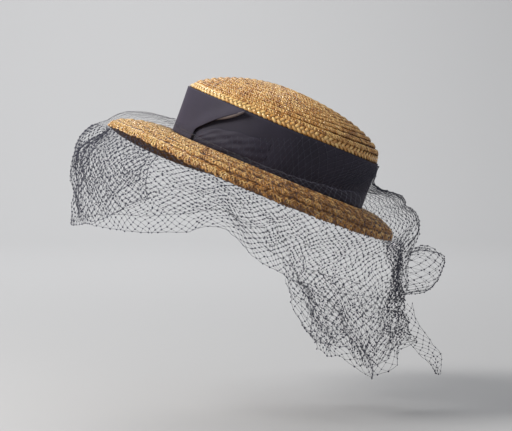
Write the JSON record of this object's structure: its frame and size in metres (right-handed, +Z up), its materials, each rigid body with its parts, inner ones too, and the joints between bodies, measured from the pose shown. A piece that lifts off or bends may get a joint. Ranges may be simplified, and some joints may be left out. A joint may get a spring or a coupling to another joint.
{
  "type": "straw boater with a net veil",
  "caption": "Oval straw boater with a domed crown and turned-down brim, a wide dark ribbon band, and a dark net veil draped over the brim that gathers and trails behind.",
  "frame": {"origin": "middle of the oval opening at the base of the crown, where the hat sits on a head", "axes": "+Z up as worn, -X towards the front of the hat, -Y towards its left side; the front of the hat is tipped up by 22.5 degrees"},
  "size_m": [0.3761, 0.2879, 0.2981],
  "materials": {
    "crown": "sewn straw plait, lacquered, glossy",
    "brim": "sewn straw plait, lacquered, glossy",
    "ribbon_band": "matte dark navy ribbon",
    "ribbon_flap": "matte dark navy ribbon",
    "ribbon_tuck": "matte dark navy ribbon",
    "veil_drape": "dark navy diamond net",
    "veil_swag_low": "dark navy diamond net",
    "veil_swag_high": "dark navy diamond net",
    "veil_lobe": "dark navy diamond net",
    "veil_tail": "dark navy diamond net",
    "veil_end": "dark navy diamond net"
  },
  "bodies": {
    "root": {"crown": "crown", "brim": "brim", "ribbon_band": "ribbon_band", "ribbon_flap": "ribbon_flap", "ribbon_tuck": "ribbon_tuck", "veil_drape": "veil_drape", "veil_swag_low": "veil_swag_low", "veil_swag_high": "veil_swag_high", "veil_lobe": "veil_lobe", "veil_tail": "veil_tail", "veil_end": "veil_end"}
  },
  "joints": []
}
